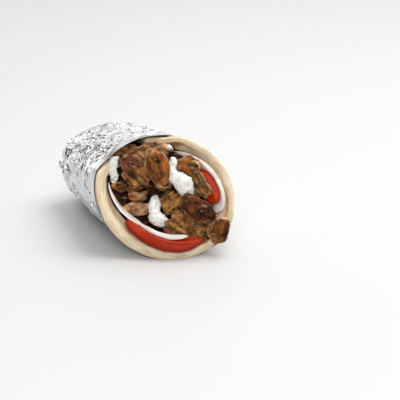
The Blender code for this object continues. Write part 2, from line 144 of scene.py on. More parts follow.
def grid_faces(rounds, steps, poles=True):
    """Triangles over a grid whose first axis joins up; poles shrink the end columns to a point."""
    index = np.arange(rounds * steps).reshape(rounds, steps)
    if poles:
        index[:, 0] = index[0, 0]
        index[:, -1] = index[0, -1]
    index = np.concatenate([index, index[:1]])
    a, b, c, d = index[:-1, :-1], index[1:, :-1], index[1:, 1:], index[:-1, 1:]
    faces = np.concatenate([np.stack([a, b, c], -1).reshape(-1, 3), np.stack([a, c, d], -1).reshape(-1, 3)])
    return faces[(faces[:, 0] != faces[:, 1]) & (faces[:, 1] != faces[:, 2]) & (faces[:, 0] != faces[:, 2])]


def make_piece(name, points, faces, material, notes=None):
    """A smooth object from points and triangles, turned so that its faces point out.

    notes are named values for each point, one number or three, which the material reads.
    """
    used, faces = np.unique(faces, return_inverse=True)
    faces = faces.reshape(-1, 3)
    points = points[used]
    corners = points[faces]
    if np.einsum("ij,ij->i", corners[:, 0], np.cross(corners[:, 1], corners[:, 2])).sum() < 0:
        faces = faces[:, ::-1]
    mesh = bpy.data.meshes.new(name)
    mesh.vertices.add(len(points))
    mesh.vertices.foreach_set("co", points.astype(np.float32).ravel())
    mesh.loops.add(faces.size)
    mesh.loops.foreach_set("vertex_index", faces.astype(np.int32).ravel())
    mesh.polygons.add(len(faces))
    mesh.polygons.foreach_set("loop_start", np.arange(0, faces.size, 3, dtype=np.int32))
    mesh.update(calc_edges=True)
    for note, values in (notes or {}).items():
        vector = values.shape[-1] == 3 and values.ndim == 3
        values = values.reshape(-1, 3 if vector else 1)[used]
        field = mesh.attributes.new(note, "FLOAT_VECTOR" if vector else "FLOAT", "POINT")
        field.data.foreach_set("vector" if vector else "value", values.astype(np.float32).ravel())
    mesh.shade_smooth()
    mesh.materials.append(material)
    piece = bpy.data.objects.new(name, mesh)
    bpy.context.scene.collection.objects.link(piece)
    return piece


def grid_piece(name, grid, material, **notes):
    """An object from a grid of points that runs round and is closed by a pole at each end."""
    return make_piece(name, grid.reshape(-1, 3), grid_faces(*grid.shape[:2]), material, notes)


def stands_for(piece, slot, *nodes):
    """Ride on the wrap and stand for the solids of the same food, which are hidden; slot is not used."""
    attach(piece, "root")
    if nodes:
        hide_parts(*nodes)


def new_material(name, **values):
    """A material with values on its Principled shader; gives it, the shader and the node tree."""
    material = bpy.data.materials.new(name)
    material.use_nodes = True
    shader = material.node_tree.nodes["Principled BSDF"]
    for key, value in values.items():
        shader.inputs[key.replace("_", " ").title()].default_value = value
    return material, shader, material.node_tree


def add_node(tree, kind, inputs=None, **settings):
    """Add a node, set its properties, and set or link its inputs."""
    made = tree.nodes.new(kind)
    for key, value in settings.items():
        setattr(made, key, value)
    for key, value in (inputs or {}).items():
        if isinstance(value, bpy.types.NodeSocket):
            tree.links.new(value, made.inputs[key])
        else:
            made.inputs[key].default_value = value
    return made


def fold_again(folds, push, chance):
    """Crease a grid again: new points go midway between the old and get a random push."""
    rounds, steps, values = folds.shape
    finer = np.zeros((rounds * 2, steps * 2 - 1, values))
    finer[::2, ::2] = folds
    finer[1::2, ::2] = (folds + np.roll(folds, -1, axis=0)) / 2
    finer[:, 1::2] = (finer[:, :-2:2] + finer[:, 2::2]) / 2
    return finer + chance.uniform(-1, 1, finer.shape) * push


FOLDS_ROUND = 50
FOLDS_LONG = 28
FOLD_PUSH = (0.4, 0.4, 1.0)       # the most a fold moves round and along, in folds, and outwards
FINER_PUSHES = ((0.16, 0.16, 0.46), (0.06, 0.06, 0.10), 0)
HEM_WIDTH = 6.0 * MM              # the foil is smooth up to here behind its edge
HEM_BLEND = 7.0 * MM              # and creased in full so much further on
EVEN_CREASE = 0.34                # height of the facets in mm everywhere, and what crushed
CRUSHED_CREASE = 0.95             # patches and the stretch near the tail add to it
TAIL_CREASE = 0.20
BROAD_DENT = 1.0 * MM             # height of the slow swells of the sheet
RIDGE = 0.9                       # height in mm of the sharp ridges, and of finer ones
FINE_RIDGE = 0.5                  # in crushed patches
TAIL_PLEATS = 12                  # gathers where the foil closes over the tail
PLEAT_DEPTH = 1.6 * MM
FOIL_INSET = 1.0 * MM             # of the sheet before it is creased
DEEPEST_INSET = 1.6 * MM          # further in, the bread would come through
INNER_STEPS = 16
EDGE_INSET = 1.15 * MM            # of the inner face, at the foil's edge
INNER_DROP = 1.1 * MM             # and how much further in it lies behind the edge
INNER_LOWEST = 0.4 * MM           # above the table

foil_chance = np.random.default_rng(5)
folds = foil_chance.uniform(-1, 1, (FOLDS_ROUND, FOLDS_LONG, 3)) * FOLD_PUSH
for push in FINER_PUSHES:
    folds = fold_again(folds, push, foil_chance)
foil_rounds, foil_steps = folds.shape[:2]
angle = np.linspace(0, 2 * np.pi, foil_rounds, endpoint=False)[:, None] + np.zeros((1, foil_steps))
share = np.linspace(0, 1, foil_steps)[None, :] + np.zeros((foil_rounds, 1))
start = lip_y(angle) + hem_setback(angle)
run = lengthwise(angle, share, start, 0)[..., 1] - start
creased = smooth_step((run - HEM_WIDTH) / HEM_BLEND)
smooth_foil = lengthwise(angle, share, start, 0)
crushed = smooth_step(0.45 + 1.1 * cloud(smooth_foil, 13 * MM, 2))
strength = creased * (EVEN_CREASE + CRUSHED_CREASE * crushed + TAIL_CREASE * smooth_step(share * 1.4)) * MM
pole_fade = np.clip((1 - share) * 12, 0, 1)     # down to 0 where the lines meet at the tail's tip
angle = angle + folds[..., 0] * 2 * np.pi / FOLDS_ROUND * creased
share = share + folds[..., 1] / (FOLDS_LONG - 1) * creased * pole_fade
broad = cloud(smooth_foil, 14 * MM, 3) * BROAD_DENT * creased
ridges = RIDGE * np.abs(cloud(smooth_foil, (8 * MM, 6 * MM, 8 * MM), 4))
fine_ridges = FINE_RIDGE * crushed * np.abs(cloud(smooth_foil, (4.6 * MM, 3.0 * MM, 4.6 * MM), 7))
ridges = (ridges + fine_ridges) * MM * creased
pleats = np.abs(np.sin(angle * TAIL_PLEATS / 2 + 3 * share)) * PLEAT_DEPTH * smooth_step((share - 0.8) / 0.15)
foil_inset = FOIL_INSET - folds[..., 2] * strength - broad - ridges + pleats * pole_fade
foil_inset = np.minimum(foil_inset, DEEPEST_INSET)
foil_outer = lengthwise(angle, np.clip(share, 0, 1), start, foil_inset)
foil_outer[..., 2] = np.maximum(foil_outer[..., 2], 0)
inner_share = np.linspace(0, 1, INNER_STEPS)[None, :] ** 1.5 * np.ones((foil_rounds, 1))
inner_angle = angle[:, :1] * np.ones((1, INNER_STEPS))
inner_start = lip_y(inner_angle) + hem_setback(inner_angle)
inner_inset = EDGE_INSET + INNER_DROP * smooth_step(inner_share * 12)
foil_inner = lengthwise(inner_angle, inner_share, inner_start, inner_inset)
foil_inner[..., 2] = np.maximum(foil_inner[..., 2], INNER_LOWEST)
foil_grid = np.concatenate([foil_outer[:, ::-1], foil_inner], axis=1)

foil_finish = new_material("crumpled_foil", base_color=(0.66, 0.66, 0.67, 1), metallic=1.0, roughness=0.12)[0]
foil = grid_piece("foil_sheet", foil_grid, foil_finish)
foil.data.set_sharp_from_angle(angle=np.radians(12))
stands_for(foil, "foil", "foil_wrapper")

# ------------------------------------------------------------------------------------ bread
# One soft flatbread, 4.5 to 7.5 mm thick, rolled into a cone so that its edges stay apart at the
# upper left. Its crumb is cream, its skin toasted in spots, and the lip shows fine torn lines.

BREAD_THICKNESS = 7.5 * MM
BREAD_THINNEST = 0.62             # of that thickness, at the right
BREAD_THICKEST_ANGLE = np.radians(207)
BREAD_SWELL_POWER = 1.4           # more keeps the thick stretch shorter
SEAM_START = np.radians(98)       # the rolled sheet doesn't meet between these two angles
SEAM_END = np.radians(138)
SQUEEZED_INSET = 2.6 * MM         # of the bread's outer face under the foil
SQUEEZE_START = 2.0 * MM          # the bread only swells before a hem set back more than this
SQUEEZE_LEAD = 1.5 * MM           # and it is fully squeezed this far in front of that hem


def bread_inset(angle, y):
    """Inset of the outer face: squeezed under the foil, and free to swell towards the lip."""
    setback = hem_setback(angle)
    free = np.clip((setback - SQUEEZE_START) / (HEM_SETBACK - SQUEEZE_START), 0, 1)
    run_in = np.maximum(setback - SQUEEZE_LEAD, SQUEEZE_LEAD / 3)
    under = np.clip((y - lip_y(angle)) / run_in, 0, 1)
    return SQUEEZED_INSET * (1 - free * (1 - under ** 2))


def bread_thickness(angle):
    """Thickest at the lower left, falling in a cosine to the thinnest opposite."""
    swell = (0.5 + 0.5 * np.cos(angle - BREAD_THICKEST_ANGLE)) ** BREAD_SWELL_POWER
    return BREAD_THICKNESS * (BREAD_THINNEST + (1 - BREAD_THINNEST) * swell)


def push_out(grid, height):
    """Move a grid's points along its normals, taken from the steps to their neighbours."""
    normal = np.cross(np.roll(grid, -1, axis=0) - np.roll(grid, 1, axis=0), np.gradient(grid, axis=1))
    normal[:, 0] = normal[:, 1].mean(axis=0)
    normal[:, -1] = normal[:, -2].mean(axis=0)
    normal *= np.sign(((grid - grid.mean(axis=(0, 1))) * normal).sum())
    normal /= np.maximum(np.linalg.norm(normal, axis=-1, keepdims=True), 1e-12)
    return grid + normal * height[..., None]


def blended(tree, factor, first, second, kind="MIX"):
    """The colour output of a Mix node; the factor and the colours may be values or sockets."""
    mix = add_node(tree, "ShaderNodeMix", {0: factor, 6: first, 7: second}, data_type="RGBA", blend_type=kind)
    return mix.outputs[2]


def spread(tree, value, low, high, to_low=0.0, to_high=1.0):
    """The value, stretched from the range low to high to a new one and kept inside it."""
    return add_node(tree, "ShaderNodeMapRange", {"Value": value, "From Min": low, "From Max": high,
                                                 "To Min": to_low, "To Max": to_high}).outputs["Result"]


def noted(tree, name, output="Fac"):
    """The output of an Attribute node that reads a note of the mesh."""
    return add_node(tree, "ShaderNodeAttribute", attribute_name=name).outputs[output]


def new_group(name, inputs, output, kind):
    """A node group with named inputs, each a number or three, and one output; gives it and them."""
    group = bpy.data.node_groups.new(name, "ShaderNodeTree")
    for key, value in inputs.items():
        vector = isinstance(value, tuple)
        socket = "NodeSocketVector" if vector else "NodeSocketFloat"
        group.interface.new_socket(key, in_out="INPUT", socket_type=socket).default_value = value
    group.interface.new_socket(output, in_out="OUTPUT", socket_type=kind)
    return group, add_node(group, "NodeGroupInput").outputs


speckle_group, given = new_group("speckle", {"Place": (0.0, 0.0, 0.0), "Stretch": (1.0, 1.0, 1.0),
                                             "Scale": 300.0, "Detail": 4.0}, "Shade", "NodeSocketFloat")
stretched = add_node(speckle_group, "ShaderNodeMapping", {"Vector": given["Place"],
                                                          "Scale": given["Stretch"]})
noise = add_node(speckle_group, "ShaderNodeTexNoise", {"Vector": stretched.outputs["Vector"],
                                                       "Scale": given["Scale"], "Detail": given["Detail"]})
add_node(speckle_group, "NodeGroupOutput", {"Shade": noise.outputs["Fac"]})


def speckle(tree, scale, detail=4.0, stretch=(1, 1, 1), place=None):
    """The speckle group on Object coordinates or other ones, scale in waves a metre."""
    place = place or add_node(tree, "ShaderNodeTexCoord").outputs["Object"]
    values = {"Place": place, "Stretch": stretch, "Scale": scale, "Detail": detail}
    return add_node(tree, "ShaderNodeGroup", values, node_tree=speckle_group).outputs["Shade"]


grain_group, given = new_group("fine_grain", {"Scale": 1000.0, "Strength": 0.3, "Distance": 0.0004},
                               "Normal", "NodeSocketVector")
grain = add_node(grain_group, "ShaderNodeBump", {"Height": speckle(grain_group, given["Scale"]),
                                                 "Strength": given["Strength"],
                                                 "Distance": given["Distance"]})
add_node(grain_group, "NodeGroupOutput", {"Normal": grain.outputs["Normal"]})


def grained(tree, shader, scale, strength, distance):
    """Place the fine_grain group before a shader: scale in waves a metre, distance in metres."""
    values = {"Scale": scale, "Strength": strength, "Distance": distance}
    grain = add_node(tree, "ShaderNodeGroup", values, node_tree=grain_group)
    tree.links.new(grain.outputs["Normal"], shader.inputs["Normal"])


def stretches(angle, rows):
    """The sum of rises in a cosine, each with its angle, its spread and its height."""
    return sum(height * nearness(angle, np.radians(centre), np.radians(reach))
               for centre, reach, height in rows)


def bell(value, centre, width):
    """1 at the centre, falling to 1/e a width away; centre and width in mm."""
    return np.exp(-((value - centre * MM) / (width * MM)) ** 2)


WHOLE_ROLL = 2 * np.pi - (SEAM_END - SEAM_START)
MEAN_RADIUS = 40.0 * MM
END_ROUNDING = 2.6 * MM           # at the sheet's two ends, along the roll
RIM_ROUNDING = 3.4 * MM           # at the lip, along the wrap
BREAD_TAIL_STOP = 0.93            # share of the way from lip to tail tip that the bread reaches
BREAD_LOWEST = 1.2 * MM           # above the table where the foil lies under it

# Where the inner face draws back from the filling: angle and spread in degrees, depth in mm
SLACK = ((66, 34, 2.2), (212, 40, 1.5))
# Where the inner edge is toasted: angle and spread in degrees, and how much
TOASTED = ((207, 50, 1.1), (-14, 26, 1.1), (69, 13, 2.4))
TOASTED_SLOT = ((70, 12, 2.0),)

near_end = END_ROUNDING / MEAN_RADIUS * (1 - np.cos(np.linspace(0, np.pi / 2, 9)))
roll = np.linspace(near_end[-1], WHOLE_ROLL - near_end[-1], 330)[1:-1]
roll = np.concatenate([near_end, roll, WHOLE_ROLL - near_end[::-1]])
from_end = np.minimum(roll, WHOLE_ROLL - roll)[None, :] / near_end[-1]
taper = np.sqrt(1 - (1 - np.minimum(from_end, 1)) ** 2)
rim_turn = np.linspace(0, np.pi, 45)[:, None]
back = np.linspace(1, 0, 57)[:-1, None] ** 2
angle = (SEAM_START - roll)[None, :]
share_of = STRAIGHT_SHARE / (TAIL_Y - lip_y(angle))
rim_share = RIM_ROUNDING * (1 - np.sin(rim_turn) ** 0.8) * share_of
face_share = RIM_ROUNDING * share_of + (BREAD_TAIL_STOP - RIM_ROUNDING * share_of) * back
share = np.concatenate([face_share, rim_share, face_share[::-1]])
rim_depth = 0.5 - 0.5 * np.sign(np.cos(rim_turn)) * np.abs(np.cos(rim_turn)) ** 0.75
depth = np.concatenate([0 * back, rim_depth, 0 * back + 1]) + 0 * angle
angle = angle + 0 * share
outer_inset = bread_inset(angle, lengthwise(angle, share, lip_y(angle), 0)[..., 1])
thick = bread_thickness(angle)
inset = outer_inset + thick / 2 + (depth - 0.5) * thick * taper
run = share / share_of
inset = inset + (depth > 0.5) * stretches(angle, SLACK) * MM * smooth_step((run - 2 * MM) / (8 * MM))
bread_grid = lengthwise(angle, share, lip_y(angle), inset)
bread_grid[..., 2] = np.maximum(bread_grid[..., 2], BREAD_LOWEST * outer_inset / SQUEEZED_INSET)
laid = np.stack([angle * MEAN_RADIUS, depth * thick, run], axis=-1)
on_rim = np.clip(1 - (run - RIM_ROUNDING * 0.6) / (2 * MM), 0, 1)
lines = rough(laid, (9 * MM, 0.9 * MM, 2.5 * MM), 21)
swells = rough(bread_grid, 9 * MM, 24)
pores = np.maximum(rough(bread_grid, 1.8 * MM, 27) - 0.35, 0)
relief = lines * 0.22 * on_rim + swells * 0.35 * np.exp(-run / (30 * MM)) - pores * 0.35
relief = relief * MM * taper * smooth_step((bread_grid[..., 2] - 0.5 * MM) / (2 * MM))
bread_grid = push_out(bread_grid, relief)
patchy = rough(laid, (7 * MM, 2.2 * MM, 4 * MM), 31)
toast = bell(run, 2.2, 1.6) * (depth > 0.7) * stretches(angle, TOASTED) * (0.75 + 0.6 * patchy)
toast = toast + bell(run, 2.9, 0.8) * (depth < 0.3) * (0.5 + 0.4 * patchy)
toast = toast + bell(run, 5, 2.2) * (depth > 0.7) * stretches(angle, TOASTED_SLOT)
toast = toast + smooth_step((run - 4 * MM) / (6 * MM)) * np.maximum(patchy - 0.15, 0) * 0.9

DULL_CRUMB = (0.76, 0.62, 0.41, 1)
CREAM_CRUMB = (0.86, 0.75, 0.56, 1)
TORN_CRUMB = (0.64, 0.48, 0.27, 1)
TOASTED_SKIN = (0.50, 0.27, 0.085, 1)
SAME_POINT = 0.002 * MM           # the points at the sheet's two ends are merged within this

bread_finish, bread_shader, tree = new_material("flatbread", roughness=0.72, subsurface_weight=0.12,
                                                subsurface_radius=(0.004, 0.0022, 0.001),
                                                subsurface_scale=1.0)
cream = blended(tree, spread(tree, speckle(tree, 110), 0.35, 0.65), DULL_CRUMB, CREAM_CRUMB)
cream = blended(tree, spread(tree, noted(tree, "lines"), 0.0, 0.9), cream, TORN_CRUMB)
browned = spread(tree, speckle(tree, 420), 0.2, 0.75, 0.55, 1.35)
browned = add_node(tree, "ShaderNodeMath", {0: browned, 1: noted(tree, "toast")},
                   operation="MULTIPLY", use_clamp=True).outputs[0]
tree.links.new(blended(tree, browned, cream, TOASTED_SKIN), bread_shader.inputs["Base Color"])
grained(tree, bread_shader, 1500, 0.35, 0.0004)
bread = make_piece("flatbread_sheet", bread_grid.reshape(-1, 3),
                   grid_faces(*bread_grid.shape[:2], poles=False), bread_finish,
                   {"toast": np.clip(toast, 0, 1), "lines": lines * on_rim})
seam = bmesh.new()
seam.from_mesh(bread.data)
bmesh.ops.remove_doubles(seam, verts=seam.verts, dist=SAME_POINT)
seam.to_mesh(bread.data)
seam.free()
stands_for(bread, "bread", "pita")

# ------------------------------------------------------------------------------------ tomato and onion
# Thick tomato slices and thin onion slices lie along the bread's inner wall, cut edges to the
# front. The tomato is wet and smooth; the onion is clear white with a purple line at its skin.


def slab(rounds, steps, edge_power, outline_power):
    """A unit ball swollen towards a slab: sines and cosines raised to powers below 1.

    The columns crowd towards the rim as s^(1/power), which spaces them evenly over the faces.
    """
    half = np.linspace(0, 1, steps // 2 + 1) ** (1 / edge_power) * np.pi / 2
    polar = np.concatenate([half, np.pi - half[-2::-1]])[None, :]
    turn = np.linspace(0, 2 * np.pi, rounds, endpoint=False)[:, None]

    def squared(value, power):
        """A power of a value that keeps its sign."""
        return np.sign(value) * np.abs(value) ** power

    reach = squared(np.maximum(np.sin(polar), 0), edge_power)
    x = reach * squared(np.cos(turn), outline_power)
    y = reach * squared(np.sin(turn), outline_power)
    z = squared(np.cos(polar), edge_power) + 0 * turn
    return np.stack([x, y, z], axis=-1)


def wall_slice(unit, first, last, off_first, off_last, thickness, reach, back, pointed):
    """A slice that follows the bread's inner wall from one angle to another, stood off from it.

    Its thickness falls off towards each end by a share pointed, with the third power of the distance.
    """
    end = np.where(unit[..., 0] < 0, pointed[0], pointed[1])
    thickness = thickness * (1 - end * np.abs(unit[..., 0]) ** 3)
    angle = np.radians(first + last) / 2 + np.radians(last - first) / 2 * unit[..., 0]
    y = lip_y(angle) + back * MM + reach * MM * (unit[..., 1] + 1) / 2
    off = (off_first + off_last) / 2 + (off_last - off_first) / 2 * unit[..., 0]
    inset = bread_inset(angle, y) + bread_thickness(angle) + (off + thickness / 2 * unit[..., 2]) * MM
    return around(angle, y, inset)


DEEP_RED = (0.40, 0.020, 0.003, 1)
BRIGHT_RED = (0.53, 0.048, 0.005, 1)
SKIN_RED = (0.26, 0.008, 0.002, 1)

tomato_finish, tomato_shader, tree = new_material("tomato_flesh", roughness=0.34, coat_weight=0.03,
                                                  coat_roughness=0.08, subsurface_weight=0.05,
                                                  subsurface_radius=(0.004, 0.0008, 0.0004),
                                                  subsurface_scale=1.0)
tomato_shader.inputs["Specular IOR Level"].default_value = 0.2
red = blended(tree, spread(tree, speckle(tree, 160), 0.35, 0.7), DEEP_RED, BRIGHT_RED)
tree.links.new(blended(tree, noted(tree, "skin"), red, SKIN_RED), tomato_shader.inputs["Base Color"])
grained(tree, tomato_shader, 500, 0.2, 0.0003)

# First and last angle, standoff at each, thickness, reach and setback, in degrees and mm, and
# how pointed the ends are
TOMATOES = {"tomato_low": (214, 300, 4.1, 3.0, 7.2, 9, -1.5, (0.35, 0.95)),
            "tomato_right": (-20, 36, 6.8, 8.0, 5.6, 38, 0.0, (0.9, 0.9))}
for name, sizes in TOMATOES.items():
    unit = slab(180, 72, 0.2, 0.55)
    tomato_grid = wall_slice(unit, *sizes)
    tomato_grid = push_out(tomato_grid, rough(tomato_grid, 11 * MM, 41) * 0.3 * MM)
    skin = smooth_step(-unit[..., 2] * 3 - 1)
    tomato = grid_piece(name + "_slice", tomato_grid, tomato_finish, skin=skin)
    stands_for(tomato, "tomato", name)

CLOUDY_WHITE = (0.78, 0.66, 0.58, 1)
CLEAR_WHITE = (0.93, 0.88, 0.82, 1)
PURPLE_SKIN = (0.60, 0.37, 0.41, 1)

onion_finish, onion_shader, tree = new_material("onion_flesh", roughness=0.25, coat_weight=0.35,
                                                coat_roughness=0.1, subsurface_weight=0.45,
                                                subsurface_radius=(0.003, 0.0028, 0.0024),
                                                subsurface_scale=1.0)
veined = spread(tree, speckle(tree, 240, stretch=(1, 0.3, 1)), 0.35, 0.65)
white = blended(tree, veined, CLOUDY_WHITE, CLEAR_WHITE)
tree.links.new(blended(tree, noted(tree, "skin"), white, PURPLE_SKIN), onion_shader.inputs["Base Color"])
ONIONS = {"onion_right": (-30, 72, 2.1, 5.8, 3.2, 34, -0.5, (0.6, 0.5)),
          "onion_left": (162, 230, 1.6, 8.2, 1.7, 5, 1.0, (0.6, 0.2)),
          "onion_low": (224, 286, 8.1, 8.4, 1.7, 4, 0.6, (0.2, 0.85))}
for name, sizes in ONIONS.items():
    unit = slab(150, 48, 0.3, 0.6)
    onion_grid = wall_slice(unit, *sizes)
    onion_grid = push_out(onion_grid, rough(onion_grid, 8 * MM, 45) * 0.3 * MM)
    edge = np.exp(-((unit[..., 2] + 0.75) / 0.22) ** 2) * smooth_step(0.5 + cloud(onion_grid, 16 * MM, 48))
    onion = grid_piece(name + "_slice", onion_grid, onion_finish, skin=edge * 0.8)
    stands_for(onion, "onion", name)

# ------------------------------------------------------------------------------------ meat
# Thin slices shaved off a roasting cone of minced and pressed meat. Their faces are grainy and
# pitted, red-brown to olive, their cut edges lighter, a painted highlight runs along each front
# outline, and they curl and lean on each other.

YAW = np.radians(-20.8)
PITCH = np.radians(20.0)
RIGHT = np.array([np.cos(YAW), np.sin(YAW), 0])
UP = np.array([-np.sin(YAW) * np.sin(PITCH), np.cos(YAW) * np.sin(PITCH), np.cos(PITCH)])
OUT = np.cross(RIGHT, UP)
MOUTH_CENTRE = np.array([MIDDLE_X, MOUTH_Y, HALF_HEIGHT - FLAT_DEPTH])

DARK = (0.060, 0.015, 0.004)
SEARED = (0.130, 0.034, 0.007)
BROWN = (0.275, 0.105, 0.027)
RED = (0.330, 0.096, 0.020)
PLUM = (0.200, 0.062, 0.036)
OLIVE = (0.310, 0.150, 0.040)
GOLD = (0.370, 0.160, 0.042)
TAN = (0.560, 0.305, 0.140)


# Tan of the cut sides; it also paints a highlight line along each slice's front outline
CUT_TAN_AND_HIGHLIGHT = (0.60, 0.385, 0.225, 1)
FAT = (0.58, 0.36, 0.20, 1)
# Near-black painted shade, laid into the low places of the meat
HOLLOW_SHADE = (0.022, 0.006, 0.002, 1)

LARGE_SLICE = 9                   # mm of half length, beyond which a slice gets a finer mesh
LARGE_MESH = (230, 84)            # points round a slice and from face to face
SMALL_MESH = (150, 56)
SLICE_EDGE_POWER = 0.42
SLICE_OUTLINE_POWER = 0.92
LUMP_SHARE = 0.07                 # of the slice's thickness
LUMP_WAVES = (350, 400)           # along and across the slice, in radians a metre


def across(points):
    """Right, up and out of the mouth's tilted plane, carried to the frame."""
    return points @ np.stack([RIGHT, UP, OUT]) + MOUTH_CENTRE


def spin(tip, lean, turn):
    """A turn about the first axis, then the second, then the third, in degrees."""
    matrix = Matrix.Rotation(np.radians(turn), 3, "Z") @ Matrix.Rotation(np.radians(lean), 3, "Y")
    return np.array(matrix @ Matrix.Rotation(np.radians(tip), 3, "X"))


def meat_slice(name, place, half_length, half_width, thickness, turn, tip, lean, bow, cup, seed,
               first, second, fibre):
    """A slice of meat: a slab with a torn outline, grain, fibres and pits, bent and placed.

    bow and cup bend it along and across onto circles; fibre is how strong its parallel lines are.
    """
    mesh_size = LARGE_MESH if half_length > LARGE_SLICE else SMALL_MESH
    unit = slab(*mesh_size, SLICE_EDGE_POWER, SLICE_OUTLINE_POWER)
    chance = np.random.default_rng(seed)
    phase = chance.uniform(0, 2 * np.pi, 6)
    turned = np.arctan2(unit[..., 1], unit[..., 0])
    ring = np.stack([np.cos(turned), np.sin(turned), 0 * turned + seed], axis=-1)
    torn = 1 + 0.07 * np.sin(3 * turned + phase[0]) + 0.06 * np.sin(5 * turned + phase[1])
    torn = torn + 0.07 * rough(ring, 0.22, seed + 60) * np.hypot(unit[..., 0], unit[..., 1])
    x = unit[..., 0] * half_length * MM * torn
    y = unit[..., 1] * half_width * MM * torn
    z = unit[..., 2] * thickness / 2 * MM
    flat = np.stack([x, y, z], axis=-1) + seed * 31 * MM
    waves = np.sin(LUMP_WAVES[0] * x + phase[2]) + np.sin(LUMP_WAVES[1] * y + phase[3])
    z = z + LUMP_SHARE * MM * thickness * waves
    for amount, side, half in ((bow, 0, half_length), (cup, 1, half_width)):
        if amount:
            radius = half * MM * 2 / np.radians(amount)
            bend = (x, y)[side] / radius
            bent = np.sin(bend) * (radius + z)
            z = np.cos(bend) * (radius + z) - radius
            x, y = (bent, y) if side == 0 else (x, bent)
    grid = across(np.stack([x, y, z], axis=-1) @ spin(tip, lean, turn).T + np.array(place) * MM)
    lumps = rough(flat, 5.5 * MM, seed + 70, 2)
    crumbly = rough(flat, 1.9 * MM, seed + 80)
    drift = rough(flat, 7 * MM, seed + 91, 2)[..., None] * (0, 1.6 * MM, 0.8 * MM)
    strands = 1 - 2 * np.abs(rough(flat + drift, (11 * MM, 2.0 * MM, 2.8 * MM), seed + 90, 2))
    pits = np.maximum(cloud(flat, 2.3 * MM, seed + 95) - 0.45, 0)
    height = 0.38 * lumps + 0.22 * crumbly + 0.30 * fibre * strands - 1.6 * pits
    grid = push_out(grid, height * MM)
    patch = smooth_step(0.5 + 0.9 * cloud(flat, 8 * MM, seed + 99))[..., None]
    flesh = np.array(first) * (1 - patch) + np.array(second) * patch
    reach = np.hypot(unit[..., 0], unit[..., 1])
    cut = 0.45 * smooth_step(1.5 - np.abs(unit[..., 2]) * 2.2)
    # A painted highlight: a light line round the outline of the slice's front face
    cut = cut + np.exp(-((reach - 0.93) / 0.05) ** 2) * (unit[..., 2] > 0)
    cut = cut * (0.55 + 0.75 * cloud(flat, 4 * MM, seed + 97))
    piece = grid_piece(name + "_slice", grid, meat_finish, flesh=flesh, cut=np.clip(cut, 0, 1),
                       height=height, laid=flat)
    stands_for(piece, "meat", name)
    return grid


meat_finish, meat_shader, tree = new_material("roast_meat", subsurface_weight=0.06,
                                              subsurface_radius=(0.002, 0.0008, 0.0004),
                                              subsurface_scale=1.0)
meat_shader.inputs["Specular IOR Level"].default_value = 0.10
# Tan on the cut sides, and a painted highlight along each front outline
tone = blended(tree, noted(tree, "cut"), noted(tree, "flesh", "Vector"), CUT_TAN_AND_HIGHLIGHT)
fibrous = speckle(tree, 420, 2.5, (0.45, 1, 1), noted(tree, "laid", "Vector"))
tone = blended(tree, 1.0, tone, spread(tree, fibrous, 0.33, 0.67, 0.30, 1.60), "MULTIPLY")
mottled = speckle(tree, 190, 1.0)
tone = blended(tree, 1.0, tone, spread(tree, mottled, 0.35, 0.65, 0.65, 1.25), "MULTIPLY")
# Painted shade: the lower a point lies, in pits and between lumps, the closer its colour goes to near black
sunk_shade = spread(tree, noted(tree, "height"), -0.65, 0.15, 1.0, 0.0)
tone = blended(tree, sunk_shade, tone, HOLLOW_SHADE)
fatty = spread(tree, speckle(tree, 260, stretch=(1, 1, 2.2)), 0.60, 0.72, 0.0, 0.7)
tree.links.new(blended(tree, fatty, tone, FAT), meat_shader.inputs["Base Color"])
tree.links.new(spread(tree, speckle(tree, 300), 0.3, 0.7, 0.28, 0.65), meat_shader.inputs["Roughness"])
grained(tree, meat_shader, 1100, 0.6, 0.0005)

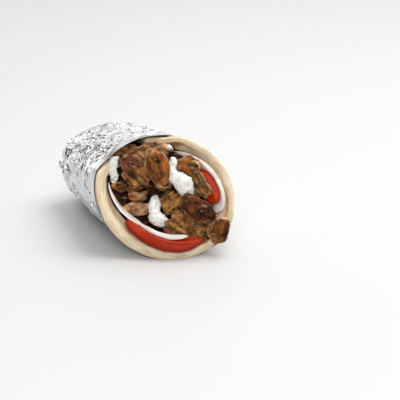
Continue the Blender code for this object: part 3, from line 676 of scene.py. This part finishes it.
# Place (right, up, out), half length, half width, thickness, turn, tip, lean, bow, cup, seed, the
# two colours of its flesh, and its fibres; mm and degrees
SLICES = {
    "meat_over_lip": ((34.0, -23.4, 4.0), 9.0, 6.2, 6.5, 76, 8, -12, 60, 35, 1, SEARED, BROWN, 0.4),
    "meat_bottom_broad": ((16.8, -22.2, 3.0), 17.0, 8.8, 5.0, -30, -7, 6, 20, 15, 2, OLIVE, BROWN, 0.3),
    "meat_right_dark": ((21.2, -9.6, 4.8), 12.8, 6.2, 7.0, -33, -4, 0, 30, 75, 3, DARK, SEARED, 0.2),
    "meat_left_broad": ((-17.4, 14.8, -0.8), 11.4, 8.4, 5.5, -42, 0, -8, 40, 45, 4, GOLD, PLUM, 0.6),
    "meat_middle_broad": ((-3.4, 16.4, 1.2), 12.4, 7.6, 6.0, -60, -8, 10, 30, 50, 5, RED, BROWN, 0.6),
    "meat_middle_small": ((4.6, -5.0, -2.0), 7.6, 6.6, 5.5, 40, 0, 0, 30, 30, 6, GOLD, OLIVE, 1.2),
    "meat_top_right": ((15.4, 17.4, -2.5), 7.6, 6.0, 5.0, -10, 0, 0, 30, 25, 7, RED, GOLD, 0.3),
    "meat_curl": ((22.2, 17.2, -1.5), 6.2, 3.2, 1.4, 100, 85, 0, 230, 0, 8, TAN, BROWN, 0.3),
    "meat_right_thin_outer": ((25.2, 3.6, -2.5), 9.8, 4.2, 2.4, -62, 30, 0, 25, 0, 9, TAN, BROWN, 0.5),
    "meat_right_thin_inner": ((21.6, 5.4, -3.5), 9.6, 5.0, 2.6, -58, 25, 0, 20, 0, 10, TAN, OLIVE, 0.5),
    "meat_arch": ((0.9, 3.6, -2.4), 6.6, 4.4, 2.0, 14, 66, 0, 130, 0, 11, TAN, BROWN, 0.4),
    "meat_left_under": ((-16.6, 4.8, -3.4), 7.4, 4.4, 3.5, 20, 24, 0, 30, 20, 18, TAN, BROWN, 0.4),
    "meat_left_fold": ((-16.6, -2.4, -3.0), 6.6, 4.6, 2.6, 4, 50, 0, 130, 0, 12, RED, TAN, 0.5),
    "meat_left_ragged": ((-18.0, -9.6, -2.0), 8.4, 4.4, 3.2, 4, -10, 0, 30, 10, 13, TAN, OLIVE, 0.4),
    "meat_left_chip": ((-27.4, 4.8, -3.6), 4.8, 3.4, 3.0, -10, 20, 0, 30, 0, 14, BROWN, TAN, 0.3),
    "meat_top_crumbled": ((-7.5, 27.2, -3.8), 11.0, 5.0, 4.5, 4, -10, 0, 40, 20, 15, BROWN, TAN, 0.5),
    "meat_top_left": ((-24.6, 23.6, -4.8), 12.0, 5.4, 5.0, 27, -10, 0, 30, 20, 16, BROWN, RED, 0.4),
    "meat_bottom_chip": ((4.6, -23.6, 0.5), 5.6, 2.6, 3.2, -20, 0, 0, 20, 0, 17, BROWN, TAN, 0.3),
}
heap = [meat_slice(name, *sizes) for name, sizes in SLICES.items()]


def plane_y(angle, inset, out):
    """The y where a line along the wrap passes a plane across the mouth, closed in on by steps."""
    y = np.full_like(angle, MOUTH_Y)
    for _ in range(4):
        y = y + (out - (around(angle, y, inset) - MOUTH_CENTRE) @ OUT) / OUT[1]
    return y


CORE_INSET = 11.2 * MM            # clear of the bread's inner face
CORE_SEAM_INSET = 3.2 * MM        # where the filling swells into the open seam
CORE_SEAM_SPREAD = np.radians(17)
CORE_FRONT = -9.5 * MM            # its face, out from the mouth's plane
CORE_FACE_SHARE = 0.35            # share of each line that runs over that face
CORE_LUMP = 1.6                   # mm
CORE_TONE = 0.6                   # of the seared colour, as little light falls so deep

core_share = np.linspace(0, 1, 90)[None, :]
angle = np.linspace(0, 2 * np.pi, 180, endpoint=False)[:, None] + 0 * core_share
core_share = core_share + 0 * angle
in_seam = nearness(angle, (SEAM_START + SEAM_END) / 2, CORE_SEAM_SPREAD)
inset = CORE_INSET - (CORE_INSET - CORE_SEAM_INSET) * in_seam
behind_face = np.clip((core_share - CORE_FACE_SHARE) / (1 - CORE_FACE_SHARE), 0, 1)
core_grid = lengthwise(angle, behind_face, plane_y(angle, inset, CORE_FRONT), inset)
to_middle = np.clip(1 - core_share / CORE_FACE_SHARE, 0, 1)[..., None]
core_grid = core_grid + (MOUTH_CENTRE + CORE_FRONT * OUT - core_grid) * to_middle
height = CORE_LUMP * rough(core_grid, 6 * MM, 51) * smooth_step((1 - in_seam) * 3)
# Its height note is set low, so the meat material paints most of the core in near-black shade
core = grid_piece("packed_filling", push_out(core_grid, height * MM), meat_finish, cut=0 * height,
                  laid=core_grid, flesh=np.array(SEARED) * CORE_TONE + np.zeros(core_grid.shape),
                  height=height * 0.3 - 0.35)
stands_for(core, "meat", "meat_core")

# ------------------------------------------------------------------------------------ sauce
# Thick yoghurt sauce with grated cucumber and chopped herbs, spooned between the slices. It is
# white with a faint green shade, lumpy and wet, and rounds off wherever it stops.


def sauce_smear(path, flatness, seed):
    """A tube along a path of (right, up, out, radius) points, blunt at both ends and lumpy.

    Each point takes the mean of the path a little before and behind it, which smooths its bends.
    """
    polar = np.linspace(0, np.pi, 110)[None, :]
    turn = np.linspace(0, 2 * np.pi, 90, endpoint=False)[:, None]
    level = np.cos(polar) + 0 * turn
    stops = np.linspace(-1, 1, len(path))
    course = np.array(path) * MM

    def at(level, column):
        """One column of the path at a level, as the mean of seven places round it."""
        near = np.linspace(-0.12, 0.12, 7)
        return sum(np.interp(level + step, stops, course[:, column]) for step in near) / len(near)

    way = np.stack([at(level + 0.1, side) - at(level - 0.1, side) for side in (0, 1)], axis=-1)
    way /= np.linalg.norm(way, axis=-1, keepdims=True)
    size = np.sin(polar) * np.maximum(np.sin(polar) ** 2, 1e-6) ** -0.2 * at(level, 3)
    aside = np.cos(turn) * size
    points = np.stack([at(level, 0) - way[..., 1] * aside, at(level, 1) + way[..., 0] * aside,
                       at(level, 2) + np.sin(turn) * size * flatness], axis=-1)
    grid = across(points)
    lumps = rough(grid, 5.0 * MM, seed) * 1.1 + rough(grid, 1.9 * MM, seed + 5, 2) * 0.32
    return push_out(grid, lumps * MM)


YOGHURT = (0.94, 0.93, 0.90, 1)
CUCUMBER = (0.76, 0.78, 0.68, 1)

sauce_finish, sauce_shader, tree = new_material("yoghurt_sauce", roughness=0.28, coat_weight=0.3,
                                                coat_roughness=0.12, subsurface_weight=0.2,
                                                subsurface_radius=(0.003, 0.0028, 0.0022),
                                                subsurface_scale=1.0)
milky = blended(tree, spread(tree, speckle(tree, 260), 0.4, 0.68), YOGHURT, CUCUMBER)
tree.links.new(milky, sauce_shader.inputs["Base Color"])
grained(tree, sauce_shader, 900, 0.3, 0.0004)

# The points of each smear (right, up, out, radius) in mm, and how thick it is for its width
SAUCES = {
    "tzatziki_right": ([(3.4, 22.6, -2.0, 2.2), (5.1, 20.0, -1.0, 4.6), (5.6, 14.0, -0.5, 2.8),
                        (8.0, 9.8, 0.0, 4.6), (12.0, 5.4, 0.3, 6.6), (15.8, 1.4, 0.0, 5.6),
                        (18.6, -1.4, -1.0, 3.0)], 0.7),
    "tzatziki_low": ([(-5.9, 0.2, -2.6, 2.8), (-5.5, -5.2, -1.2, 3.9), (-5.9, -10.8, 0.2, 3.9),
                      (-5.0, -15.8, 1.6, 4.8), (-1.0, -18.2, 2.2, 4.0), (3.0, -16.6, 2.5, 2.4)], 0.8),
    "tzatziki_left": ([(-27.5, 23.4, -3.0, 1.6), (-31.8, 21.4, -2.6, 2.6), (-32.0, 16.5, -2.5, 3.0),
                       (-31.6, 11.0, -2.5, 3.2), (-30.6, 6.0, -3.0, 2.0)], 0.9),
    "tzatziki_top": ([(2.6, 31.5, -4.5, 1.8), (4.2, 26.5, -4.0, 2.2)], 0.9),
}
smears = []
for seed, (name, (path, flatness)) in enumerate(SAUCES.items()):
    smears.append(sauce_smear(path, flatness, 101 + 10 * seed))
    sauce = grid_piece(name + "_smear", smears[-1], sauce_finish)
    stands_for(sauce, "sauce", name)

# ------------------------------------------------------------------------------------ small things
# Chopped herbs lie in the sauce, and crumbs broken off the meat cling to the slices. Each kind is
# one joined mesh of small lumps, true to size.

CELL = 0.5 * MM                   # of a board laid over the mouth, which notes what is in front
BOARD = 200                       # cells each way
SEEN_DEPTH = 0.4 * MM             # a point so little behind the front one still counts as seen
HERB_COUNT = 40
CRUMB_COUNT = 90


def in_mouth(points):
    """Right, up and out of points in the frame."""
    return (points - MOUTH_CENTRE) @ np.stack([RIGHT, UP, OUT], axis=1)


def cells(points):
    """The cell of the board that each point is in, across and up."""
    across_up = np.round(points[:, :2] / CELL).astype(int) + BOARD // 2
    return tuple(np.clip(across_up, 0, BOARD - 1).T)


def all_points(grids):
    """The points of several grids in one list."""
    return np.concatenate([grid.reshape(-1, 3) for grid in grids])


def lying_on(grids, count, chance):
    """Random points of these grids that nothing in the mouth lies in front of."""
    points = in_mouth(all_points(grids))
    seen = points[points[:, 2] > nearest[cells(points)] - SEEN_DEPTH]
    return across(seen[chance.choice(len(seen), count, replace=False)])


def scattered(name, places, sizes, material, chance):
    """Lumps of three half sizes each, turned at random and joined into one mesh."""
    unit = slab(8, 6, 0.7, 0.9)
    faces = grid_faces(*unit.shape[:2])
    unit = unit.reshape(-1, 3)
    turns, _ = np.linalg.qr(chance.normal(size=(len(places), 3, 3)))
    turns[:, :, 2] *= np.linalg.det(turns)[:, None]
    lumps = unit * sizes[:, None, :] * chance.uniform(0.75, 1.2, (len(places), len(unit), 1))
    points = np.einsum("nij,npj->npi", turns, lumps) + places[:, None, :]
    faces = faces + np.arange(len(places))[:, None, None] * len(unit)
    return make_piece(name, points.reshape(-1, 3), faces.reshape(-1, 3), material)


front = in_mouth(all_points(heap + smears))
nearest = np.full((BOARD, BOARD), -1.0)
np.maximum.at(nearest, cells(front), front[:, 2])
chance = np.random.default_rng(77)

herb_finish, herb_shader, tree = new_material("chopped_herb", roughness=0.45)
green = blended(tree, speckle(tree, 500), (0.030, 0.055, 0.012, 1), (0.10, 0.16, 0.04, 1))
tree.links.new(green, herb_shader.inputs["Base Color"])
herb_places = lying_on(smears, HERB_COUNT, chance)
herb_sizes = (0.3 + 1.2 * chance.uniform(0, 1, (HERB_COUNT, 1)) ** 3) * (1.0, 0.6, 0.15) * MM
herbs = scattered("herb_flecks", herb_places, herb_sizes, herb_finish, chance)
stands_for(herbs, "sauce")

crumb_finish, crumb_shader, tree = new_material("meat_crumb", roughness=0.5)
crumb = blended(tree, spread(tree, speckle(tree, 350), 0.35, 0.65), (0.10, 0.035, 0.012, 1),
                (0.30, 0.15, 0.06, 1))
tree.links.new(crumb, crumb_shader.inputs["Base Color"])
crumb_places = lying_on(heap, CRUMB_COUNT, chance)
crumb_sizes = (0.3 + 0.7 * chance.uniform(0, 1, (CRUMB_COUNT, 1)) ** 2) * (1.2, 0.8, 0.6) * MM
crumbs = scattered("meat_crumbs", crumb_places, crumb_sizes, crumb_finish, chance)
stands_for(crumbs, "meat")

# ------------------------------------------------------------------------------------ studio
# A pale floor under a bright, uneven sky, a large soft key light at the upper right, and a
# smaller fill light from the front left.

bpy.context.scene.view_settings.view_transform = "Standard"
FLOOR_HALF = 4                    # metres
ground = bpy.data.meshes.new("floor")
corners = [(-FLOOR_HALF, -FLOOR_HALF, 0), (FLOOR_HALF, -FLOOR_HALF, 0),
           (FLOOR_HALF, FLOOR_HALF, 0), (-FLOOR_HALF, FLOOR_HALF, 0)]
ground.from_pydata(corners, [], [(0, 1, 2, 3)])
ground.materials.append(new_material("pale_floor", base_color=(0.62, 0.62, 0.62, 1), roughness=0.6)[0])
floor = bpy.data.objects.new("floor", ground)
bpy.context.scene.collection.objects.link(floor)

# The sky is brightest behind and above, and broken by soft dark panels for the foil to mirror
SKY_WAY = (0.25, 0.62, 0.74)
world = bpy.data.worlds.new("studio")
bpy.context.scene.world = world
world.use_nodes = True
sky = world.node_tree
way = add_node(sky, "ShaderNodeTexCoord").outputs["Generated"]
lit = add_node(sky, "ShaderNodeVectorMath", {0: way, 1: SKY_WAY}, operation="DOT_PRODUCT").outputs["Value"]
panels = add_node(sky, "ShaderNodeTexNoise", {"Vector": way, "Scale": 2.6, "Detail": 0.0}).outputs["Fac"]
panels = spread(sky, panels, 0.35, 0.65, -0.5, 0.4)
lit = add_node(sky, "ShaderNodeMath", {0: lit, 1: panels}, operation="ADD").outputs[0]
shade = add_node(sky, "ShaderNodeMapRange", {"Value": lit, "From Min": 0.1, "From Max": 0.75,
                                             "To Min": 0.04, "To Max": 1.45},
                 interpolation_type="SMOOTHSTEP").outputs["Result"]
sky.links.new(shade, sky.nodes["Background"].inputs["Strength"])
sky.nodes["Background"].inputs["Color"].default_value = (1.0, 0.985, 0.965, 1)


def soft_light(name, place, size, power):
    """A square area light that faces the wrap."""
    lamp = bpy.data.lights.new(name, "AREA")
    lamp.shape = "SQUARE"
    lamp.size = size
    lamp.energy = power
    light = bpy.data.objects.new(name, lamp)
    light.location = place
    light.rotation_euler = (Vector(MOUTH_CENTRE) - Vector(place)).to_track_quat("-Z", "Y").to_euler()
    bpy.context.scene.collection.objects.link(light)


soft_light("key", (0.45, 0.10, 0.95), 0.8, 8)
soft_light("front_fill", (-0.45, -1.0, 0.75), 0.6, 6.5)

# The camera looks square into the mouth, with the wrap left of the middle
CAMERA_DISTANCE = 1.121
AIM_RIGHT = 22.4 * MM
AIM_DOWN = 4.1 * MM
camera = bpy.data.cameras.new("camera")
camera.lens = 161.5
view = bpy.data.objects.new("camera", camera)
view.location = MOUTH_CENTRE + OUT * CAMERA_DISTANCE
aim = MOUTH_CENTRE + RIGHT * AIM_RIGHT - UP * AIM_DOWN
view.rotation_euler = (Vector(aim) - view.location).to_track_quat("-Z", "Y").to_euler()
bpy.context.scene.collection.objects.link(view)
bpy.context.scene.camera = view
